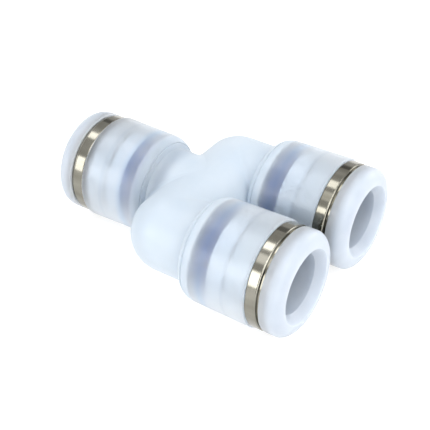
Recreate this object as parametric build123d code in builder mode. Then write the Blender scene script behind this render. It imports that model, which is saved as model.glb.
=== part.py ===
from build123d import *
import os

# Push-in Y connector for 8 mm tube. One moulded body joins a stem port to two parallel
# branch ports, and each port holds the same five pieces, seated one behind the other:
# a release ring, a guide ring, a lock claw, a backup ring and a seal.
#
# Millimetres. +X runs from the stem to the branches and +Z is up. The origin is on the
# surface that the connector lies on, below the middle of its length.

os.makedirs("parts", exist_ok=True)

# ---- Driving dimensions -------------------------------------------------------------

# Tube and layout
tube_radius = 4.0
branch_pitch = 16.0  # between the two branch axes
stem_reach = 16.05  # from the cross passage's axis to the stem's mouth
branch_reach = 15.75  # from the cross passage's axis to each branch's mouth

# Body, outside
mouth_radius = 7.3
sleeve_draft = 0.15  # the sleeve is thinner by this much where its shoulder begins
mouth_edge = 0.25
stem_sleeve_length = 10.1
branch_sleeve_length = 10.85
shoulder_round = 2.3
crease_depth = 9.5  # from the mouth to the fine groove round the shoulder
crease_radius = 0.14
stem_neck_radius = 5.8
branch_tube_radius = 5.45
junction_fillet = 1.0  # in the hollow corners where tubes and neck meet

# Body, inside
cartridge_radius = 6.0  # counterbore that holds the port's pieces
seat_depth = 8.25  # from the mouth to the shelf behind the seal
stop_depth = 12.3  # from the mouth to the shoulder that stops the tube
tube_clearance = 0.05
seat_chamfer = 0.3
passage_radius = 2.8

# Guide ring
rim_inset = 0.2  # the rim stands this far inside the sleeve's outline
rim_thickness = 1.65
rim_edge = 0.2
hub_step = 0.35  # the hub in front of the rim is thinner than it by this much
hub_cover = 0.4  # length of the hub inside the collar when the ring is out
guide_length = 3.3  # pressed into the body
press_gap = 0.02
lip_length = 0.6  # from the mouth to the inner face of the lip that holds the bead
relief_radius = 5.55
slide_clearance = 0.05

# Release ring
travel = 0.35
collar_thickness = 2.75
collar_front_round = 1.4  # along the axis
collar_face_land = 0.15  # flat left between that rounding and the funnel
collar_back_round = 0.12
funnel_width = 1.0
funnel_depth = 1.2
ring_bore_clearance = 0.1
ring_wall = 0.9
bead_height = 0.4
bead_length = 0.9
nose_depth = 3.65  # from the mouth to the ring's inner end
nose_land = 0.25
finger_slots = 4
slot_width = 0.8
slot_root = 0.5  # the slots end this far outside the mouth

# Lock claw
claw_thickness = 0.3
claw_edge_gap = 0.05
tooth_root_radius = 5.3
tooth_tip_radius = 3.85
tooth_depth = 1.2  # a tooth's reach along the axis
tooth_count = 12
tooth_gap = 0.7

# Backup ring and seal
ring_gap = 0.05  # round the outside of the backup ring and the seal
tooth_clearance = 0.15
backup_bore_clearance = 0.15
seal_length = 2.2
seal_end_gap = 0.05
seal_lip_radius = 3.82
seal_bore_clearance = 0.35
seal_lip_length = 0.8
seal_lip_land = 0.3
seal_groove_width = 0.7
seal_groove_depth = 0.8

# ---- Sizes worked out from them -----------------------------------------------------

shoulder_radius = mouth_radius - sleeve_draft
rim_radius = mouth_radius - rim_inset
collar_radius = rim_radius
socket_radius = tube_radius + tube_clearance
collar_back = rim_thickness + travel
collar_front = collar_back + collar_thickness
hub_radius = rim_radius - hub_step
hub_front = collar_back + hub_cover
recess_radius = hub_radius + slide_clearance
recess_end = hub_front + travel + slide_clearance
ring_bore = tube_radius + ring_bore_clearance
ring_tube_radius = ring_bore + ring_wall
funnel_radius = ring_bore + funnel_width
face_radius = funnel_radius + collar_face_land
lip_radius = ring_tube_radius + slide_clearance
bead_radius = ring_tube_radius + bead_height
guide_radius = cartridge_radius - press_gap
insert_radius = cartridge_radius - ring_gap
seal_end = seat_depth - seal_end_gap
seal_start = seal_end - seal_length
backup_start = guide_length + claw_thickness
backup_end = seal_start - seal_end_gap
bead_start = -lip_length - slide_clearance
claw_radius = cartridge_radius - claw_edge_gap
backup_bore = tube_radius + backup_bore_clearance
seal_bore = tube_radius + seal_bore_clearance
slot_angle = 180 / finger_slots
axis_height = mouth_radius
cross_x = (stem_reach - branch_reach) / 2


def port_plane(mouth_x, y, side):
    """Plane through a port's axis: local X leaves the mouth, local Y is the radius."""
    return Plane(origin=(mouth_x, y, axis_height), x_dir=(side, 0, 0), z_dir=(0, -side, 0))


def port_axis(plane):
    return Axis(plane.origin, plane.x_dir)


def mouth_plane(plane):
    """Plane of the port's mouth, facing outward."""
    return Plane(origin=plane.origin, x_dir=(0, 0, 1), z_dir=plane.x_dir)


branch_mouth_x = cross_x + branch_reach
half_pitch = branch_pitch / 2
ports = {
    "stem": port_plane(cross_x - stem_reach, 0, -1),
    "left_branch": port_plane(branch_mouth_x, half_pitch, 1),
    "right_branch": port_plane(branch_mouth_x, -half_pitch, 1),
}
sleeve_length = {
    "stem": stem_sleeve_length,
    "left_branch": branch_sleeve_length,
    "right_branch": branch_sleeve_length,
}
reach = {"stem": stem_reach, "left_branch": branch_reach, "right_branch": branch_reach}
tube_root_radius = {
    "stem": stem_neck_radius,
    "left_branch": branch_tube_radius,
    "right_branch": branch_tube_radius,
}

# ---- Body ---------------------------------------------------------------------------

cross_plane = Plane(origin=(cross_x, 0, axis_height), x_dir=(1, 0, 0), z_dir=(0, 1, 0))
elbows = [(cross_x, -half_pitch, axis_height), (cross_x, half_pitch, axis_height)]

with BuildPart() as body:
    # The cross tube, with a round elbow at each branch
    with BuildSketch(cross_plane):
        Circle(branch_tube_radius)
    extrude(amount=half_pitch, both=True)
    with Locations(*elbows):
        Sphere(branch_tube_radius)

    # The neck or tube that carries each sleeve
    for name, plane in ports.items():
        with BuildSketch(plane):
            with BuildLine():
                Polyline(
                    (-shoulder_round, 0),
                    (-shoulder_round, tube_root_radius[name]),
                    (-sleeve_length[name], tube_root_radius[name]),
                    (-reach[name], branch_tube_radius),
                    (-reach[name], 0),
                    close=True,
                )
            make_face()
        revolve(axis=port_axis(plane))

    corners = body.edges().filter_by(GeomType.ELLIPSE) + body.edges().filter_by(GeomType.BSPLINE)
    fillet(corners, junction_fillet)

    # The three sleeves, with their rounded shoulders
    for name, plane in ports.items():
        length = sleeve_length[name]
        with BuildSketch(plane):
            with BuildLine():
                Polyline(
                    (-length, shoulder_radius - shoulder_round),
                    (-length, 0),
                    (0, 0),
                    (0, mouth_radius),
                    (shoulder_round - length, shoulder_radius),
                )
                RadiusArc(
                    (shoulder_round - length, shoulder_radius),
                    (-length, shoulder_radius - shoulder_round),
                    -shoulder_round,
                )
            make_face()
        revolve(axis=port_axis(plane))

    mouth_edges = body.edges().filter_by(GeomType.CIRCLE).sort_by(SortBy.RADIUS)
    fillet(mouth_edges[-len(ports) :], mouth_edge)

    # A fine groove round each shoulder
    for name, plane in ports.items():
        groove_x = sleeve_length[name] - shoulder_round - crease_depth
        groove_rise = (shoulder_round**2 - groove_x**2) ** 0.5
        with BuildSketch(plane):
            with Locations((-crease_depth, shoulder_radius - shoulder_round + groove_rise)):
                Circle(crease_radius)
        revolve(axis=port_axis(plane), mode=Mode.SUBTRACT)

    # The inside of each port: cartridge bore, tube socket and passage to the middle
    for name, plane in ports.items():
        with BuildSketch(plane):
            with BuildLine():
                Polyline(
                    (0, 0),
                    (0, cartridge_radius),
                    (-seat_depth, cartridge_radius),
                    (-seat_depth, socket_radius + seat_chamfer),
                    (-seat_depth - seat_chamfer, socket_radius),
                    (-stop_depth, socket_radius),
                    (-stop_depth, passage_radius),
                    (-reach[name], passage_radius),
                    (-reach[name], 0),
                    close=True,
                )
            make_face()
        revolve(axis=port_axis(plane), mode=Mode.SUBTRACT)

    # The cross passage
    with BuildSketch(cross_plane):
        Circle(passage_radius)
    extrude(amount=half_pitch, both=True, mode=Mode.SUBTRACT)
    with Locations(*elbows):
        Sphere(passage_radius, mode=Mode.SUBTRACT)

body.part.label = "body"
export_step(body.part, "parts/body.step")

# ---- Pieces of each port ------------------------------------------------------------


def build_guide_ring(plane):
    """Metal ring pressed into the mouth: a rim and a hub outside, a lip that holds the bead."""
    with BuildPart() as guide_ring:
        with BuildSketch(plane):
            with BuildLine():
                Polyline(
                    (hub_front, lip_radius),
                    (hub_front, hub_radius),
                    (rim_thickness, hub_radius),
                    (rim_thickness, rim_radius),
                    (0, rim_radius),
                    (0, guide_radius),
                    (-guide_length, guide_radius),
                    (-guide_length, relief_radius),
                    (-lip_length, relief_radius),
                    (-lip_length, lip_radius),
                    close=True,
                )
            make_face()
        revolve(axis=port_axis(plane))
        rim_edges = guide_ring.edges().filter_by(GeomType.CIRCLE).sort_by(SortBy.RADIUS)
        fillet(rim_edges[-2:], rim_edge)
    return guide_ring.part


def build_release_ring(plane):
    """Sliding ring: a collar that slides over the hub, and a slotted tube with a snap bead."""
    with BuildPart() as release_ring:
        with BuildSketch(plane):
            with BuildLine():
                EllipticalCenterArc(
                    (collar_front - collar_front_round, face_radius),
                    collar_front_round,
                    collar_radius - face_radius,
                    start_angle=0,
                    arc_size=90,
                )
                Polyline(
                    (collar_front - collar_front_round, collar_radius),
                    (collar_back + collar_back_round, collar_radius),
                )
                RadiusArc(
                    (collar_back + collar_back_round, collar_radius),
                    (collar_back, collar_radius - collar_back_round),
                    -collar_back_round,
                )
                Polyline(
                    (collar_back, collar_radius - collar_back_round),
                    (collar_back, recess_radius),
                    (recess_end, recess_radius),
                    (recess_end, ring_tube_radius),
                    (bead_start, ring_tube_radius),
                    (bead_start, bead_radius),
                    (bead_start - bead_length, ring_tube_radius),
                    (-nose_depth, ring_bore + nose_land),
                    (-nose_depth, ring_bore),
                    (collar_front - funnel_depth, ring_bore),
                    (collar_front, funnel_radius),
                    (collar_front, face_radius),
                )
            make_face()
        revolve(axis=port_axis(plane))
        with BuildSketch(mouth_plane(plane).offset(-nose_depth)):
            with PolarLocations(ring_bore, finger_slots, start_angle=slot_angle):
                Rectangle(2 * (bead_radius - ring_bore), slot_width)
        extrude(amount=nose_depth + slot_root, mode=Mode.SUBTRACT)
    return release_ring.part


def build_lock_claw(plane):
    """Sheet-metal ring whose teeth slope inward and grip the tube."""
    with BuildPart() as lock_claw:
        rim_front = -guide_length
        tip_front = rim_front - tooth_depth
        with BuildSketch(plane):
            with BuildLine():
                Polyline(
                    (rim_front, claw_radius),
                    (rim_front, tooth_root_radius),
                    (tip_front, tooth_tip_radius),
                    (tip_front - claw_thickness, tooth_tip_radius),
                    (rim_front - claw_thickness, tooth_root_radius),
                    (rim_front - claw_thickness, claw_radius),
                    close=True,
                )
            make_face()
        revolve(axis=port_axis(plane))
        with BuildSketch(mouth_plane(plane).offset(-guide_length)):
            with PolarLocations(tooth_tip_radius, tooth_count):
                Rectangle(2 * (tooth_root_radius - tooth_tip_radius), tooth_gap)
        extrude(amount=-tooth_depth - claw_thickness, mode=Mode.SUBTRACT)
    return lock_claw.part


def build_backup_ring(plane):
    """Stiff ring behind the claw, coned to leave room for the teeth."""
    with BuildPart() as backup_ring:
        cone_drop = tooth_root_radius + tooth_clearance - backup_bore
        cone_length = cone_drop * tooth_depth / (tooth_root_radius - tooth_tip_radius)
        with BuildSketch(plane):
            with BuildLine():
                Polyline(
                    (-backup_start, insert_radius),
                    (-backup_start, backup_bore + cone_drop),
                    (-backup_start - cone_length, backup_bore),
                    (-backup_end, backup_bore),
                    (-backup_end, insert_radius),
                    close=True,
                )
            make_face()
        revolve(axis=port_axis(plane))
    return backup_ring.part


def build_seal(plane):
    """Rubber seal with a lip on the tube and a groove that lets pressure spread it."""
    with BuildPart() as seal:
        lip_start = -seal_start - (seal_length - seal_lip_length) / 2
        lip_end = lip_start - seal_lip_length
        lip_middle = (lip_start + lip_end) / 2
        groove_outer = (insert_radius + seal_bore + seal_groove_width) / 2
        groove_inner = groove_outer - seal_groove_width
        groove_middle = (groove_outer + groove_inner) / 2
        with BuildSketch(plane):
            with BuildLine():
                Polyline(
                    (-seal_start, seal_bore),
                    (-seal_start, insert_radius),
                    (-seal_end, insert_radius),
                    (-seal_end, groove_outer),
                    (seal_groove_depth - seal_end, groove_middle),
                    (-seal_end, groove_inner),
                    (-seal_end, seal_bore),
                    (lip_end, seal_bore),
                    (lip_middle - seal_lip_land / 2, seal_lip_radius),
                    (lip_middle + seal_lip_land / 2, seal_lip_radius),
                    (lip_start, seal_bore),
                    close=True,
                )
            make_face()
        revolve(axis=port_axis(plane))
    return seal.part


pieces = {
    "release_ring": build_release_ring,
    "guide_ring": build_guide_ring,
    "lock_claw": build_lock_claw,
    "backup_ring": build_backup_ring,
    "seal": build_seal,
}
for port_name, plane in ports.items():
    for piece_name, build_piece in pieces.items():
        piece = build_piece(plane)
        piece.label = f"{port_name}_{piece_name}"
        export_step(piece, f"parts/{piece.label}.step")
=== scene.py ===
import math

import bpy
from mathutils import Matrix, Vector

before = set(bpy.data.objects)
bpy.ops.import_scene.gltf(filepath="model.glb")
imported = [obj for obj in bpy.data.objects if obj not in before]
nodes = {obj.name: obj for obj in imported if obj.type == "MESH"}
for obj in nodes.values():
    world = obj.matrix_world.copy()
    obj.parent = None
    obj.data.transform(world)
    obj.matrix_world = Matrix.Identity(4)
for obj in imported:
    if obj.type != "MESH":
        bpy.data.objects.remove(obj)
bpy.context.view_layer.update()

MM = 0.001
PORTS = ("stem", "left_branch", "right_branch")
AIM = Vector((2.15, 0.0, 7.3)) * MM  # what the camera and the softboxes face
X_AXIS = Vector((1.0, 0.0, 0.0))
WHITE = (1.0, 1.0, 1.0, 1.0)

# ---------------------------------------------------------------- camera
CAMERA_AZIMUTH = math.radians(34.57)
CAMERA_ELEVATION = math.radians(36.64)
CAMERA_ROLL = math.radians(-0.87)
CAMERA_DISTANCE = 148.07 * MM
CAMERA_RIGHT = -0.47 * MM
CAMERA_UP = -1.10 * MM
FOCAL_PIXELS = 1090.85
IMAGE_WIDTH = 430
SENSOR_WIDTH = 36.0
CLIP_START = 0.005
CLIP_END = 20.0


def add_camera():
    """Camera at the photograph's angle, from a fit of the outline and of the bands' edges."""
    back = Vector((
        math.sin(CAMERA_AZIMUTH) * math.cos(CAMERA_ELEVATION),
        -math.cos(CAMERA_AZIMUTH) * math.cos(CAMERA_ELEVATION),
        math.sin(CAMERA_ELEVATION),
    ))
    level = Vector((math.cos(CAMERA_AZIMUTH), math.sin(CAMERA_AZIMUTH), 0.0))
    above = back.cross(level)
    right = level * math.cos(CAMERA_ROLL) + above * math.sin(CAMERA_ROLL)
    up = above * math.cos(CAMERA_ROLL) - level * math.sin(CAMERA_ROLL)
    data = bpy.data.cameras.new("camera")
    data.sensor_width = SENSOR_WIDTH
    data.lens = FOCAL_PIXELS * SENSOR_WIDTH / IMAGE_WIDTH
    data.clip_start = CLIP_START
    data.clip_end = CLIP_END
    camera = bpy.data.objects.new("camera", data)
    bpy.context.scene.collection.objects.link(camera)
    place = AIM + back * CAMERA_DISTANCE + right * CAMERA_RIGHT + up * CAMERA_UP
    turn = Matrix((right, up, back)).transposed().to_4x4()
    camera.matrix_world = Matrix.Translation(place) @ turn
    bpy.context.scene.camera = camera


# ---------------------------------------------------------------- materials
# Zones along X. The ports' zones lie at the same distance on both sides of X = 0.
RIM_START = 15.97 * MM  # just outside the mouths, so the rim's back face counts as insert
MILKY_END = 7.1 * MM
CLEAR_START = 8.0 * MM
NECK_CLEAR_START = -3.0 * MM
NECK_CLEAR_END = -5.0 * MM
# Soft zones: start, end and the softness of their edges
SEAL_MILK = (8.7 * MM, 9.8 * MM, 0.7 * MM)
INSERT_LINE = (12.45 * MM, 12.95 * MM, 0.15 * MM)
# NECK: the neck beside the stem's shoulder, where shade is painted into the body's colour
NECK = (-5.6 * MM, -3.8 * MM, 0.8 * MM)

# Colours are pairs, the two ends of a cloud of noise
MIDDLE_COLOURS = ((0.665, 0.755, 0.845), (0.725, 0.80, 0.87))
BRANCH_COLOURS = ((0.84, 0.905, 0.97), (0.89, 0.94, 0.985))
# Painted shade: the stem's sleeves are painted a shade darker than the branches'
STEM_SHADED_COLOURS = ((0.82, 0.885, 0.95), (0.87, 0.915, 0.965))
# Painted shade: darker colour for the neck beside the stem's shoulder
NECK_PAINTED_SHADE_COLOURS = ((0.50, 0.59, 0.70), (0.56, 0.64, 0.74))
MILK_COLOURS = ((0.66, 0.80, 0.95), (0.71, 0.83, 0.97))
LINE_COLOURS = ((0.74, 0.81, 0.89), (0.79, 0.85, 0.91))
# Painted reflection: the plated rim's dark, patchy colour stands in for dark surroundings
# reflected in it
RIM_PAINTED_REFLECTION_COLOURS = ((0.185, 0.177, 0.145), (0.315, 0.304, 0.262))
# Painted light: the same plating inside the body, painted paler than the rim
INSERT_PAINTED_LIGHT_COLOURS = ((0.84, 0.86, 0.88), (0.90, 0.92, 0.94))

# Body
NECK_CLARITY = 0.5
# NECK_SHADE: strength of the painted shade on the neck
NECK_SHADE = 0.6
LINE_STRENGTH = 0.75
BODY_ROUGHNESS = (0.40, 0.47)
BODY_GRAIN_HEIGHT = 0.008 * MM
SLEEVE_COAT = 0.4
COAT_ROUGHNESS = 0.28
MILKY_TRANSMISSION = 0.45
CLEAR_TRANSMISSION = 0.96
SLANT_LOSS = 0.45  # share of the transmission lost where the wall is seen edge on
PLASTIC_IOR = 1.49

# Guide ring
RIM_ROUGHNESS = 0.15
INSERT_ROUGHNESS = 0.50
TURNING_HEIGHT = 0.002 * MM
TURNING_STRETCH = (1.0, 0.08, 0.08)
# Patches of painted reflection on the rim, stretched along X
REFLECTION_PATCH_STRETCH = (0.25, 1.0, 1.0)

# Noise lies mostly in the middle of its range, so ramps start and end inside it
NOISE_LOW = 0.3
NOISE_HIGH = 0.7


def start_material(name):
    material = bpy.data.materials.new(name)
    material.use_nodes = True
    tree = material.node_tree
    tree.nodes.clear()
    out = tree.nodes.new("ShaderNodeOutputMaterial")
    shader = tree.nodes.new("ShaderNodeBsdfPrincipled")
    tree.links.new(shader.outputs["BSDF"], out.inputs["Surface"])
    return material, tree, shader


def noise(tree, scale, detail, stretch=None):
    """Noise in the object's own coordinates; scale is per metre."""
    coords = tree.nodes.new("ShaderNodeTexCoord")
    source = coords.outputs["Object"]
    if stretch is not None:
        mapping = tree.nodes.new("ShaderNodeMapping")
        mapping.inputs["Scale"].default_value = stretch
        tree.links.new(source, mapping.inputs["Vector"])
        source = mapping.outputs["Vector"]
    texture = tree.nodes.new("ShaderNodeTexNoise")
    texture.inputs["Scale"].default_value = scale
    texture.inputs["Detail"].default_value = detail
    tree.links.new(source, texture.inputs["Vector"])
    return texture.outputs["Fac"]


def colour_ramp(tree, fac, colours):
    ramp = tree.nodes.new("ShaderNodeValToRGB")
    stops = zip(ramp.color_ramp.elements, (NOISE_LOW, NOISE_HIGH), colours)
    for stop, position, colour in stops:
        stop.position = position
        stop.color = (*colour, 1.0)
    tree.links.new(fac, ramp.inputs["Fac"])
    return ramp.outputs["Color"]


def value_between(tree, fac, low, high, socket):
    span = tree.nodes.new("ShaderNodeMapRange")
    span.inputs["From Min"].default_value = NOISE_LOW
    span.inputs["From Max"].default_value = NOISE_HIGH
    span.inputs["To Min"].default_value = low
    span.inputs["To Max"].default_value = high
    tree.links.new(fac, span.inputs["Value"])
    tree.links.new(span.outputs["Result"], socket)


def bump(tree, fac, height, shader):
    node = tree.nodes.new("ShaderNodeBump")
    node.inputs["Strength"].default_value = 1.0
    node.inputs["Distance"].default_value = height
    tree.links.new(fac, node.inputs["Height"])
    tree.links.new(node.outputs["Normal"], shader.inputs["Normal"])


def math_node(tree, operation, first, second=None):
    node = tree.nodes.new("ShaderNodeMath")
    node.operation = operation
    for socket, value in zip(node.inputs, (first, second)):
        if isinstance(value, (int, float)):
            socket.default_value = value
        elif value is not None:
            tree.links.new(value, socket)
    return node.outputs["Value"]


def x_position(tree):
    coords = tree.nodes.new("ShaderNodeTexCoord")
    split = tree.nodes.new("ShaderNodeSeparateXYZ")
    tree.links.new(coords.outputs["Object"], split.inputs["Vector"])
    return split.outputs["X"]


def smooth_step(tree, value, start, end, low=0.0, high=1.0):
    step = tree.nodes.new("ShaderNodeMapRange")
    step.interpolation_type = "SMOOTHSTEP"
    step.inputs["From Min"].default_value = start
    step.inputs["From Max"].default_value = end
    step.inputs["To Min"].default_value = low
    step.inputs["To Max"].default_value = high
    tree.links.new(value, step.inputs["Value"])
    return step.outputs["Result"]


def soft_window(tree, value, low, high, edge):
    """1 between low and high, 0 outside, with soft edges."""
    rise = smooth_step(tree, value, low - edge, low + edge)
    fall = smooth_step(tree, value, high + edge, high - edge)
    return math_node(tree, "MULTIPLY", rise, fall)


def mix_colour(tree, fac, first, second):
    mix = tree.nodes.new("ShaderNodeMix")
    mix.data_type = "RGBA"
    tree.links.new(fac, mix.inputs["Factor"])
    tree.links.new(first, mix.inputs["A"])
    tree.links.new(second, mix.inputs["B"])
    return mix.outputs["Result"]


def grained_material(name, colours, roughness, cloud, grain, grain_height):
    """Cloudy colour and roughness over a fine grain. Cloud and grain are the scale and the
    detail of their noise."""
    material, tree, shader = start_material(name)
    haze = noise(tree, *cloud)
    tree.links.new(colour_ramp(tree, haze, colours), shader.inputs["Base Color"])
    value_between(tree, haze, *roughness, shader.inputs["Roughness"])
    bump(tree, noise(tree, *grain), grain_height, shader)
    return material, shader


def body_colour(tree, cloud, x, sleeve):
    """Middle, neck and sleeves, with painted shade on the neck beside the stem's shoulder,
    the stem's sleeves painted a shade darker, the haze over the seals and the line of the
    inserts.
    """
    distance = math_node(tree, "ABSOLUTE", x)
    # Painted shade on the neck beside the stem's shoulder
    neck = math_node(tree, "MULTIPLY", soft_window(tree, x, *NECK), NECK_SHADE)
    milk = soft_window(tree, distance, *SEAL_MILK)
    line = math_node(
        tree, "MULTIPLY", soft_window(tree, distance, *INSERT_LINE), LINE_STRENGTH)
    # Painted shade: the stem side (X below 0) takes the darker sleeve colours
    on_stem = math_node(tree, "LESS_THAN", x, 0.0)
    middle = mix_colour(
        tree, neck, colour_ramp(tree, cloud, MIDDLE_COLOURS),
        colour_ramp(tree, cloud, NECK_PAINTED_SHADE_COLOURS))
    sleeves = mix_colour(
        tree, on_stem, colour_ramp(tree, cloud, BRANCH_COLOURS),
        colour_ramp(tree, cloud, STEM_SHADED_COLOURS))
    colour = mix_colour(tree, sleeve, middle, sleeves)
    colour = mix_colour(tree, milk, colour, colour_ramp(tree, cloud, MILK_COLOURS))
    return mix_colour(tree, line, colour, colour_ramp(tree, cloud, LINE_COLOURS))


def body_material():
    """Frosted plastic: clearer in the thin sleeves, milkier in the thick middle."""
    material, tree, shader = start_material("frosted_body")
    cloud = noise(tree, 220.0, 4.0)
    grain = noise(tree, 2600.0, 2.0)
    x = x_position(tree)
    sleeve = smooth_step(tree, math_node(tree, "ABSOLUTE", x), MILKY_END, CLEAR_START)
    neck = smooth_step(tree, x, NECK_CLEAR_START, NECK_CLEAR_END, 0.0, NECK_CLARITY)
    clear = math_node(tree, "MAXIMUM", sleeve, neck)
    tree.links.new(body_colour(tree, cloud, x, sleeve), shader.inputs["Base Color"])
    value_between(tree, cloud, *BODY_ROUGHNESS, shader.inputs["Roughness"])
    bump(tree, grain, BODY_GRAIN_HEIGHT, shader)
    coat = math_node(tree, "MULTIPLY", sleeve, SLEEVE_COAT)
    tree.links.new(coat, shader.inputs["Coat Weight"])
    shader.inputs["Coat Roughness"].default_value = COAT_ROUGHNESS
    slant = tree.nodes.new("ShaderNodeLayerWeight")
    slant.inputs["Blend"].default_value = 0.5
    loss = math_node(tree, "MULTIPLY", slant.outputs["Facing"], SLANT_LOSS)
    facing = math_node(tree, "SUBTRACT", 1.0, loss)
    depth = smooth_step(tree, clear, 0.0, 1.0, MILKY_TRANSMISSION, CLEAR_TRANSMISSION)
    through = math_node(tree, "MULTIPLY", depth, facing)
    tree.links.new(through, shader.inputs["Transmission Weight"])
    shader.inputs["IOR"].default_value = PLASTIC_IOR
    return material


def ring_material():
    material, shader = grained_material(
        "satin_ring", colours=((0.415, 0.46, 0.525), (0.46, 0.505, 0.565)),
        roughness=(0.34, 0.42), cloud=(260.0, 4.0), grain=(3200.0, 2.0),
        grain_height=0.006 * MM)
    shader.inputs["IOR"].default_value = PLASTIC_IOR
    shader.inputs["Subsurface Weight"].default_value = 1.0
    shader.inputs["Subsurface Radius"].default_value = (1.0, 1.0, 1.0)
    shader.inputs["Subsurface Scale"].default_value = 3.0 * MM
    return material


def plated_material():
    """One plating as two painted copies: a dark, patchy rim outside the mouths whose colour
    is painted dark reflection, and a brighter satin insert inside the body painted paler than
    the plating.
    """
    material, tree, shader = start_material("nickel_plate_painted_reflections")
    cloud = noise(tree, 150.0, 3.0)
    turned = noise(tree, 900.0, 3.0, stretch=TURNING_STRETCH)
    # Painted reflection: dark and bright patches on the rim
    painted_reflection_patches = noise(tree, 420.0, 2.0, stretch=REFLECTION_PATCH_STRETCH)
    distance = math_node(tree, "ABSOLUTE", x_position(tree))
    outside = math_node(tree, "GREATER_THAN", distance, RIM_START)
    # Painted reflection outside the mouths, painted paler insert inside
    colour = mix_colour(
        tree, outside, colour_ramp(tree, cloud, INSERT_PAINTED_LIGHT_COLOURS),
        colour_ramp(tree, painted_reflection_patches, RIM_PAINTED_REFLECTION_COLOURS))
    roughness = smooth_step(tree, outside, 0.0, 1.0, INSERT_ROUGHNESS, RIM_ROUGHNESS)
    tree.links.new(colour, shader.inputs["Base Color"])
    tree.links.new(roughness, shader.inputs["Roughness"])
    bump(tree, turned, TURNING_HEIGHT, shader)
    shader.inputs["Metallic"].default_value = 1.0
    return material


def steel_material():
    material, shader = grained_material(
        "spring_steel", colours=((0.50, 0.50, 0.50), (0.62, 0.61, 0.60)),
        roughness=(0.22, 0.34), cloud=(300.0, 3.0), grain=(2000.0, 3.0),
        grain_height=0.003 * MM)
    shader.inputs["Metallic"].default_value = 1.0
    return material


def backup_material():
    material, _ = grained_material(
        "white_backup_ring", colours=((0.88, 0.91, 0.95), (0.93, 0.95, 0.98)),
        roughness=(0.42, 0.50), cloud=(260.0, 3.0), grain=(2600.0, 2.0),
        grain_height=0.006 * MM)
    return material


def rubber_material():
    """Dark blue, because the seals' bands look blue through the frosted sleeves."""
    material, _ = grained_material(
        "seal_rubber", colours=((0.002, 0.065, 0.260), (0.004, 0.085, 0.320)),
        roughness=(0.55, 0.7), cloud=(400.0, 3.0), grain=(4000.0, 2.0),
        grain_height=0.008 * MM)
    return material


def dress(node, material):
    slots = nodes[node].data.materials
    slots.clear()
    slots.append(material)
    for polygon in nodes[node].data.polygons:
        polygon.material_index = 0


# ---------------------------------------------------------------- studio
SOFTBOX_DISTANCE = 0.6
SOFTBOXES = (
    # name, angle round X, spread, start and end along X, radiance
    ("key_softbox", 19.0, 32.0, -0.80, -0.25, 4.4),
    ("upper_softbox", 62.0, 20.0, -0.52, 0.90, 1.15),
    ("top_softbox", 92.0, 17.0, -0.80, -0.25, 3.4),
    ("back_softbox", 162.0, 24.0, 0.15, 0.85, 3.0),
    ("front_softbox", 45.0, 90.0, 1.10, 3.50, 3.2),
    ("overhead_softbox", 80.0, 70.0, 0.2, 1.2, 1.8),
)
TENT_RADIANCE = 0.75
FLAGS = (
    # first and last angle round X, start and end along X, share of the light taken
    (141.0, 156.0, -0.85, -0.25, 0.65),
    (116.0, 160.0, -1.20, -0.55, 0.20),
    (-5.0, 45.0, -0.15, 1.00, 0.45),
)
FLAG_ANGLE_SOFTNESS = math.radians(2.0)
FLAG_END_SOFTNESS = 0.1
FLOOR_SIZE = 8.0
FLOOR_COLOURS = ((0.36, 0.36, 0.36), (0.38, 0.38, 0.38))
FLOOR_ROUGHNESS = (0.8, 0.9)
FLOOR_EMISSION = 0.78


def add_softbox(name, angle, spread, start, end, radiance):
    """Softbox with two edges parallel to X. Angle and spread are in degrees round the X
    axis, from -Y; start and end are its reach along X, as shares of its distance."""
    way = Vector((0.0, -math.cos(math.radians(angle)), math.sin(math.radians(angle))))
    height = 2.0 * SOFTBOX_DISTANCE * math.tan(math.radians(spread) / 2.0)
    length = (end - start) * SOFTBOX_DISTANCE
    data = bpy.data.lights.new(name, "AREA")
    data.shape = "RECTANGLE"
    data.size = length
    data.size_y = height
    data.energy = radiance * math.pi * length * height
    light = bpy.data.objects.new(name, data)
    bpy.context.scene.collection.objects.link(light)
    place = AIM + (way + X_AXIS * (start + end) / 2.0) * SOFTBOX_DISTANCE
    turn = Matrix((X_AXIS, way.cross(X_AXIS), way)).transposed().to_4x4()
    light.matrix_world = Matrix.Translation(place) @ turn
    light.visible_camera = False


def add_floor():
    bpy.ops.mesh.primitive_plane_add(size=FLOOR_SIZE, location=(0.0, 0.0, 0.0))
    floor = bpy.context.active_object
    floor.name = "studio_floor"
    material, tree, shader = start_material("pale_floor")
    cloud = noise(tree, 6.0, 3.0)
    tree.links.new(colour_ramp(tree, cloud, FLOOR_COLOURS), shader.inputs["Base Color"])
    value_between(tree, cloud, *FLOOR_ROUGHNESS, shader.inputs["Roughness"])
    shader.inputs["Emission Color"].default_value = WHITE
    shader.inputs["Emission Strength"].default_value = FLOOR_EMISSION
    floor.data.materials.append(material)


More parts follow.
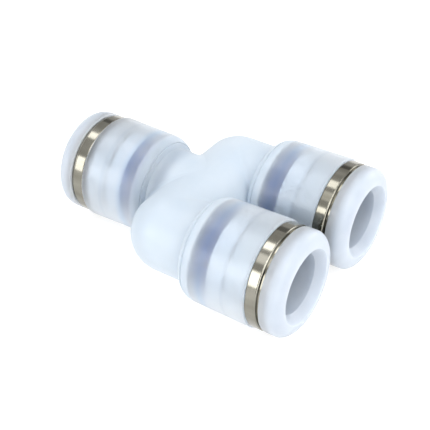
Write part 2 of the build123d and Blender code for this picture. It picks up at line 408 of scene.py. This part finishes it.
def set_world():
    """White light tent with flags that take part of its light, placed round the X axis so
    that the bands' bright and dark runs fall as in the photograph."""
    world = bpy.data.worlds.new("studio")
    world.use_nodes = True
    tree = world.node_tree
    tree.nodes.clear()
    out = tree.nodes.new("ShaderNodeOutputWorld")
    background = tree.nodes.new("ShaderNodeBackground")
    coords = tree.nodes.new("ShaderNodeTexCoord")
    split = tree.nodes.new("ShaderNodeSeparateXYZ")
    tree.links.new(coords.outputs["Generated"], split.inputs["Vector"])
    x, y, z = (split.outputs[axis] for axis in "XYZ")
    angle = math_node(tree, "ARCTAN2", z, math_node(tree, "MULTIPLY", y, -1.0))
    squares = (math_node(tree, "MULTIPLY", axis, axis) for axis in (y, z))
    across = math_node(tree, "SQRT", math_node(tree, "ADD", *squares))
    share = math_node(tree, "DIVIDE", x, across)
    light = TENT_RADIANCE
    for low, high, start, end, cover in FLAGS:
        first, last = math.radians(low), math.radians(high)
        round_x = soft_window(tree, angle, first, last, FLAG_ANGLE_SOFTNESS)
        along_x = soft_window(tree, share, start, end, FLAG_END_SOFTNESS)
        flag = math_node(tree, "MULTIPLY", round_x, along_x)
        passed = math_node(tree, "SUBTRACT", 1.0, math_node(tree, "MULTIPLY", flag, cover))
        light = math_node(tree, "MULTIPLY", passed, light)
    tree.links.new(light, background.inputs["Strength"])
    tree.links.new(background.outputs["Background"], out.inputs["Surface"])
    background.inputs["Color"].default_value = WHITE
    bpy.context.scene.world = world


add_camera()
materials = {
    "guide_ring": plated_material(),
    "release_ring": ring_material(),
    "lock_claw": steel_material(),
    "backup_ring": backup_material(),
    "seal": rubber_material(),
}
dress("body", body_material())
for port in PORTS:
    for piece, material in materials.items():
        dress(f"{port}_{piece}", material)

add_floor()
set_world()
for softbox in SOFTBOXES:
    add_softbox(*softbox)

scene = bpy.context.scene
scene.view_settings.view_transform = "Standard"
scene.cycles.use_denoising = True
scene.cycles.max_bounces = 16
scene.cycles.diffuse_bounces = 8
scene.cycles.glossy_bounces = 8
scene.cycles.blur_glossy = 2.0
scene.cycles.sample_clamp_indirect = 4.0
